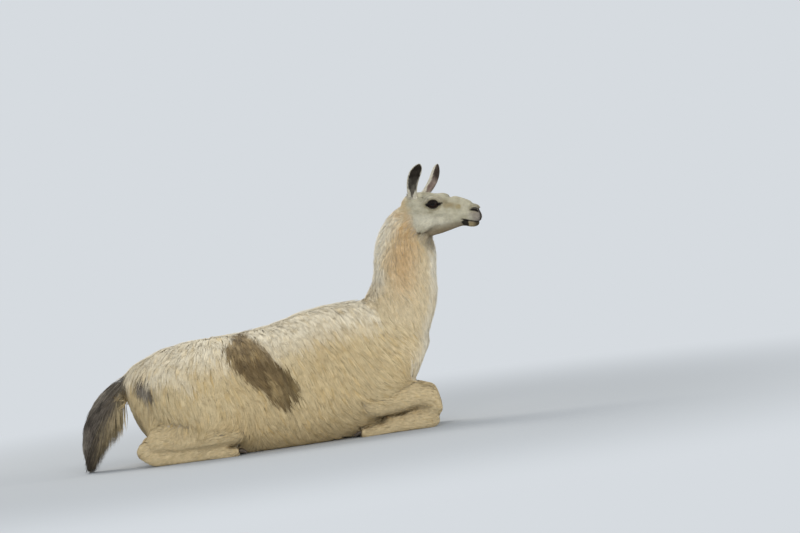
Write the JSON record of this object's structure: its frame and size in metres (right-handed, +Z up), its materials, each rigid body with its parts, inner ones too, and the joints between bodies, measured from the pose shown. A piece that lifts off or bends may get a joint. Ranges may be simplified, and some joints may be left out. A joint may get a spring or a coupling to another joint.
{
  "type": "llama",
  "caption": "Life-size adult llama lying on its breast with folded legs, neck raised and head turned slightly right; pale wool with a dark flank patch and tail.",
  "frame": {"origin": "middle of the whole outline, on the floor", "axes": "+X towards the head, along the body; +Y towards the animal's left; +Z up"},
  "size_m": [1.7182, 0.5202, 1.045],
  "materials": {
    "fleece": "matte wool",
    "dark_fleece": "matte long wool",
    "face_fur": "short matte fur",
    "ear_fur": "short matte fur",
    "eye": "wet gloss",
    "nail_horn": "satin horn"
  },
  "bodies": {
    "root": {"foreleg_upper_arm_right": "fleece", "foreleg_forearm_right": "fleece", "foreleg_cannon_right": "fleece", "foreleg_foot_right": "fleece", "hindleg_thigh_right": "fleece", "hindleg_shank_right": "fleece", "hindleg_cannon_right": "fleece", "hindleg_foot_right": "fleece", "foreleg_nail_inner_right": "nail_horn", "foreleg_nail_outer_right": "nail_horn", "hindleg_nail_inner_right": "nail_horn", "hindleg_nail_outer_right": "nail_horn", "eye_right": "eye", "ear_right": "ear_fur", "foreleg_upper_arm_left": "fleece", "foreleg_forearm_left": "fleece", "foreleg_cannon_left": "fleece", "foreleg_foot_left": "fleece", "hindleg_thigh_left": "fleece", "hindleg_shank_left": "fleece", "hindleg_cannon_left": "fleece", "hindleg_foot_left": "fleece", "foreleg_nail_inner_left": "nail_horn", "foreleg_nail_outer_left": "nail_horn", "hindleg_nail_inner_left": "nail_horn", "hindleg_nail_outer_left": "nail_horn", "eye_left": "eye", "ear_left": "ear_fur", "trunk": "fleece", "neck": "fleece", "tail": "dark_fleece", "head": "face_fur", "lower_jaw": "face_fur"}
  },
  "joints": []
}
